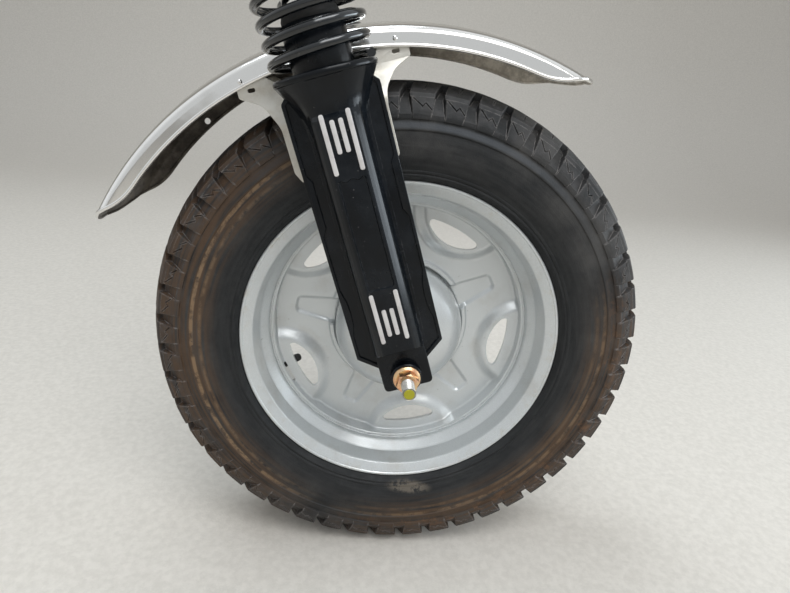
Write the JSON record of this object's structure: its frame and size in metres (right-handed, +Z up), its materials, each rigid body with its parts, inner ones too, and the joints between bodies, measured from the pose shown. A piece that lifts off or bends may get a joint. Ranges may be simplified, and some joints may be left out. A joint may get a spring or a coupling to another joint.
{
  "type": "cargo tricycle front fork with wheel and mudguard",
  "caption": "Front fork of a cargo tricycle with a steering head, sprung black legs, a pressed silver wheel, a knobbly tyre and a chrome mudguard.",
  "frame": {"origin": "on the axis of the frame stub, halfway along its spigot", "axes": "+X forward, +Y to the vehicle's left, +Z up; the frame stub points along -X"},
  "size_m": [0.6027, 0.308, 0.9237],
  "materials": {
    "frame_black": "satin",
    "fork_black": "semi-gloss",
    "leg_black": "semi-gloss",
    "spring_black": "gloss",
    "plated_steel": "zinc plated",
    "stanchion_chrome": "polished",
    "seal_rubber": "matt",
    "bar_silver": "satin",
    "guard_chrome": "polished",
    "bracket_steel": "satin",
    "axle_zinc": "zinc plated",
    "nut_zinc": "yellow zinc plated",
    "cast_aluminium": "as cast",
    "wheel_silver": "semi-gloss",
    "tyre_rubber": "dusty"
  },
  "bodies": {
    "steering_head": {"head_tube": "frame_black", "bearing_cups": "plated_steel", "frame_stub": "frame_black"},
    "fork": {"bearing_adjuster": "plated_steel", "stem_nut": "plated_steel", "stanchion_caps": "plated_steel", "lower_yoke": "fork_black", "upper_yoke": "fork_black", "spring_cover_right": "fork_black", "spring_cover_left": "fork_black", "lower_leg_right": "leg_black", "lower_leg_left": "leg_black", "spring_right": "spring_black", "spring_left": "spring_black", "steering_stem": "plated_steel", "stanchion_right": "stanchion_chrome", "stanchion_left": "stanchion_chrome", "dust_seals": "seal_rubber", "leg_bars_right": "bar_silver", "leg_bars_left": "bar_silver", "mudguard": "guard_chrome", "guard_bracket_right": "bracket_steel", "guard_bracket_left": "bracket_steel", "axle": "axle_zinc", "axle_nuts": "nut_zinc", "axle_spacers": "plated_steel", "brake_plate": "cast_aluminium", "brake_lever": "plated_steel"},
    "wheel": {"rim": "wheel_silver", "wheel_disc": "wheel_silver", "wheel_hub": "wheel_silver", "tyre": "tyre_rubber", "valve_stem": "seal_rubber"}
  },
  "joints": [
    {"name": "steering", "type": "hinge", "parent": "steering_head", "child": "fork", "pos_m": [0.092, 0, 0], "axis": [-0.3206, 0, 0.9472], "range_deg": [-40, 40]},
    {"name": "wheel_spin", "type": "hinge", "parent": "fork", "child": "wheel", "pos_m": [0.3153, 0, -0.54118], "axis": [0, 1, 0], "continuous": true}
  ]
}
